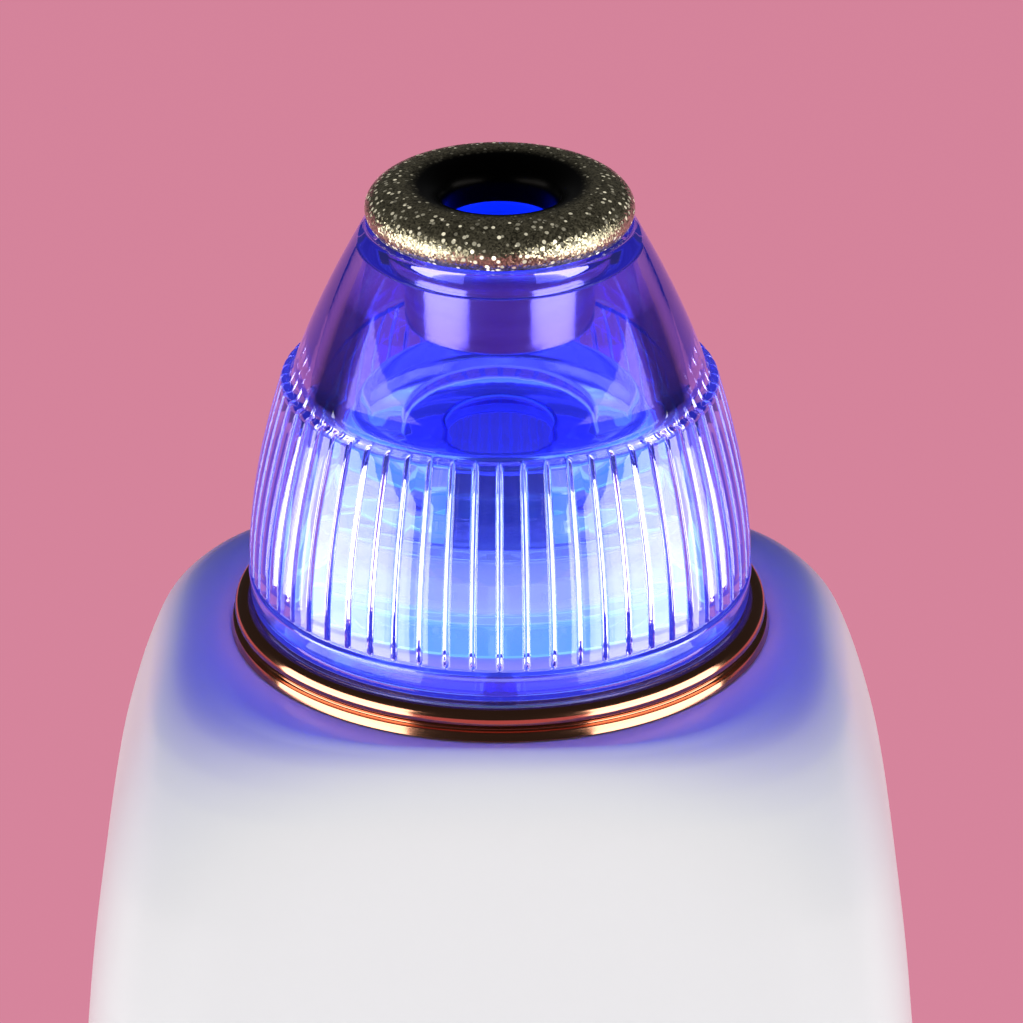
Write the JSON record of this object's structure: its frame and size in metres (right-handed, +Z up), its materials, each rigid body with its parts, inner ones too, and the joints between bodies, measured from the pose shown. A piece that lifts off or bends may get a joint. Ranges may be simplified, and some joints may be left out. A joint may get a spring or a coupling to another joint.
{
  "type": "microdermabrasion device",
  "caption": "Handheld vacuum microdermabrasion device with a clear ribbed lit head, a lift-out grit tip, press buttons and a base that stands upright.",
  "frame": {"origin": "middle of the base's flat underside, which the device stands on", "axes": "+Z up along the device's length to the tip, front face with the buttons towards -Y, +X to the right seen from the front"},
  "size_m": [0.0504, 0.0393, 0.1666],
  "materials": {
    "white_abs": "glossy moulded ABS, soft edges",
    "rose_gold": "polished rose gold plating",
    "clear_plastic": "clear polished polycarbonate, lit blue from below",
    "grit_coat": "stainless steel with a sparkling diamond grit coat",
    "silicone": "translucent silicone rubber",
    "felt": "pressed white felt",
    "board": "green solder mask on fibreglass",
    "lamp": "light chip, lit blue",
    "black_plastic": "moulded black",
    "grey_plastic": "moulded grey",
    "pump_plastic": "moulded natural nylon",
    "cell_wrap": "shrink wrap",
    "steel": "zinc plated or nickel plated steel"
  },
  "bodies": {
    "root": {"base_cap": "white_abs", "base_screw_1": "steel", "base_screw_2": "steel", "battery_cell": "cell_wrap", "bezel_ring": "rose_gold", "board_screw_1": "steel", "board_screw_2": "steel", "body_shell": "white_abs", "charge_socket": "steel", "control_chip": "black_plastic", "frame_screw_1": "steel", "frame_screw_2": "steel", "head_seal": "silicone", "inner_frame": "grey_plastic", "lamp_board": "board", "lamp_chip_1": "lamp", "lamp_chip_2": "lamp", "lamp_chip_3": "lamp", "lamp_chip_4": "lamp", "lamp_chip_5": "lamp", "lamp_chip_6": "lamp", "level_light_1": "clear_plastic", "level_light_2": "clear_plastic", "level_light_3": "clear_plastic", "level_switch": "black_plastic", "light_chip_1": "lamp", "light_chip_2": "lamp", "light_chip_3": "lamp", "main_board": "board", "motor_can": "steel", "motor_end_cap": "black_plastic", "motor_sleeve": "black_plastic", "nozzle_bowl": "clear_plastic", "nozzle_screw_1": "steel", "nozzle_screw_2": "steel", "nozzle_screw_3": "steel", "power_switch": "black_plastic", "power_trim": "rose_gold", "pump_case": "pump_plastic", "pump_lid": "pump_plastic", "pump_rubber": "silicone", "pump_screw_1": "steel", "pump_screw_2": "steel", "suction_hose": "silicone", "valve_plate": "pump_plastic", "wobble_plate": "pump_plastic"},
    "head": {"clear_head": "clear_plastic"},
    "tip": {"diamond_tip": "grit_coat", "tip_o_ring": "silicone"},
    "filter": {"felt_filter": "felt"},
    "power": {"power_button": "white_abs", "power_plunger": "grey_plastic"},
    "level": {"level_button": "white_abs", "level_plunger": "grey_plastic"},
    "crank": {"crank_shaft": "steel"}
  },
  "joints": [
    {"name": "head_lift", "type": "slide", "parent": "root", "child": "head", "axis": [0, 0, 1], "range_m": [0, 0.03]},
    {"name": "tip_lift", "type": "slide", "parent": "head", "child": "tip", "axis": [0, 0, 1], "range_m": [0, 0.01]},
    {"name": "filter_lift", "type": "slide", "parent": "root", "child": "filter", "axis": [0, 0, 1], "range_m": [0, 0.0085]},
    {"name": "power_press", "type": "slide", "parent": "root", "child": "power", "axis": [0, 1, 0], "range_m": [0, 0.0006], "stiffness_N_per_m": 800},
    {"name": "level_press", "type": "slide", "parent": "root", "child": "level", "axis": [0, 1, 0], "range_m": [0, 0.0006], "stiffness_N_per_m": 800},
    {"name": "crank_turn", "type": "hinge", "parent": "root", "child": "crank", "pos_m": [0, 0.0032, 0.085], "axis": [0, 0, 1], "continuous": true}
  ]
}
